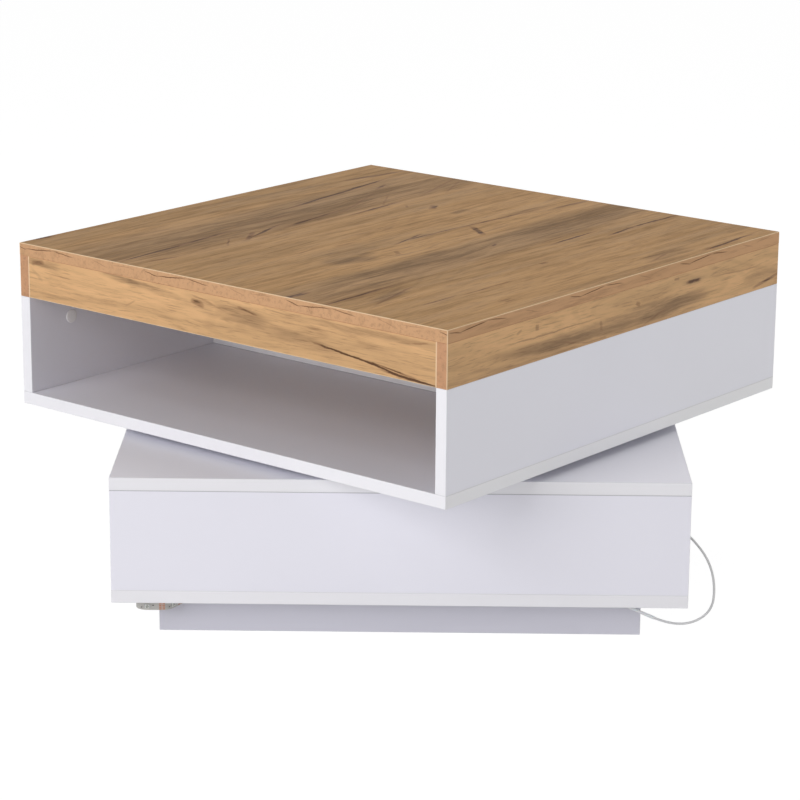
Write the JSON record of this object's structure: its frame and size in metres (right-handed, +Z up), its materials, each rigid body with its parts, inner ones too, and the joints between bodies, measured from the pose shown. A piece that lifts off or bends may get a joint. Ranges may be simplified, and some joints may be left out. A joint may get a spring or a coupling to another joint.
{
  "type": "swivel coffee table",
  "caption": "Square coffee table of two open storage blocks, the upper one turning on a flat ball-bearing ring, with a light strip round the recessed plinth.",
  "frame": {"origin": "swivel axis at floor level", "axes": "+Z up; -Y out of the lower block's closed front wall; +X to the right seen from the front"},
  "size_m": [0.9842, 0.9842, 0.435],
  "materials": {
    "oak_decor": "satin wood-grain laminate on board",
    "white_board": "satin white laminate on board",
    "raw_wood": "bare softwood and plywood",
    "steel": "zinc plated",
    "zinc_alloy": "die-cast zinc alloy, bare",
    "ring_metal": "pressed aluminium ring, satin",
    "ball_steel": "polished steel",
    "cage_plastic": "moulded, matt",
    "cap_plastic": "grey moulded cap, matt",
    "strip_film": "flexible printed strip, pale grey-green",
    "chip": "light-emitting chips, white body with a clear window",
    "lead_sheath": "white PVC sheath",
    "sleeve_film": "shrink sleeve, pale",
    "box_plastic": "moulded white plastic",
    "knob_plastic": "moulded black plastic",
    "battery_wrap": "shrink-wrapped battery pack",
    "circuit": "printed circuit board",
    "foam_tape": "double-sided foam tape"
  },
  "bodies": {
    "base": {"led_chips": "chip", "led_lead": "lead_sheath", "led_sleeve": "sleeve_film", "led_strip": "strip_film", "light_box_base": "box_plastic", "light_box_battery": "battery_wrap", "light_box_circuit": "circuit", "light_box_cover": "box_plastic", "light_box_gland": "box_plastic", "light_box_tape": "foam_tape", "lower_bearing_ring": "ring_metal", "lower_bottom_board": "white_board", "lower_divider": "white_board", "lower_end_tongues": "raw_wood", "lower_long_tongues": "raw_wood", "lower_ring_bolts": "steel", "lower_top_board": "white_board", "lower_wall_front": "white_board", "lower_wall_rear": "white_board", "plinth_blocks": "raw_wood", "plinth_front": "white_board", "plinth_left": "white_board", "plinth_rear": "white_board", "plinth_right": "white_board", "switch_housing": "knob_plastic"},
    "upper_block": {"table_top": "oak_decor", "apron_left": "oak_decor", "apron_right": "oak_decor", "apron_front": "oak_decor", "apron_rear": "oak_decor", "upper_wall_left": "white_board", "upper_wall_right": "white_board", "upper_divider": "white_board", "upper_bottom_board": "white_board", "cam_locks": "zinc_alloy", "cam_caps": "cap_plastic", "cam_bolts": "steel", "upper_long_tongues": "raw_wood", "upper_end_tongues": "raw_wood", "apron_tongues": "raw_wood", "side_apron_tongues": "raw_wood", "glue_blocks": "raw_wood", "upper_bearing_ring": "ring_metal", "upper_ring_screws": "steel"},
    "ball_set": {"bearing_balls": "ball_steel", "ball_cage": "cage_plastic"},
    "switch_knob": {"switch_slider": "knob_plastic"}
  },
  "joints": [
    {"name": "swivel", "type": "hinge", "parent": "base", "child": "upper_block", "pos_m": [0, 0, 0.2175], "axis": [0, 0, 1], "continuous": true},
    {"name": "ball_orbit", "type": "hinge", "parent": "base", "child": "ball_set", "pos_m": [0, 0, 0.2175], "axis": [0, 0, 1], "continuous": true},
    {"name": "switch_slide", "type": "slide", "parent": "base", "child": "switch_knob", "axis": [0, 0, 1], "range_m": [0, 0.004]}
  ],
  "couplings": [
    {"joint": "ball_orbit", "follows": "swivel", "ratio": 0.5}
  ]
}
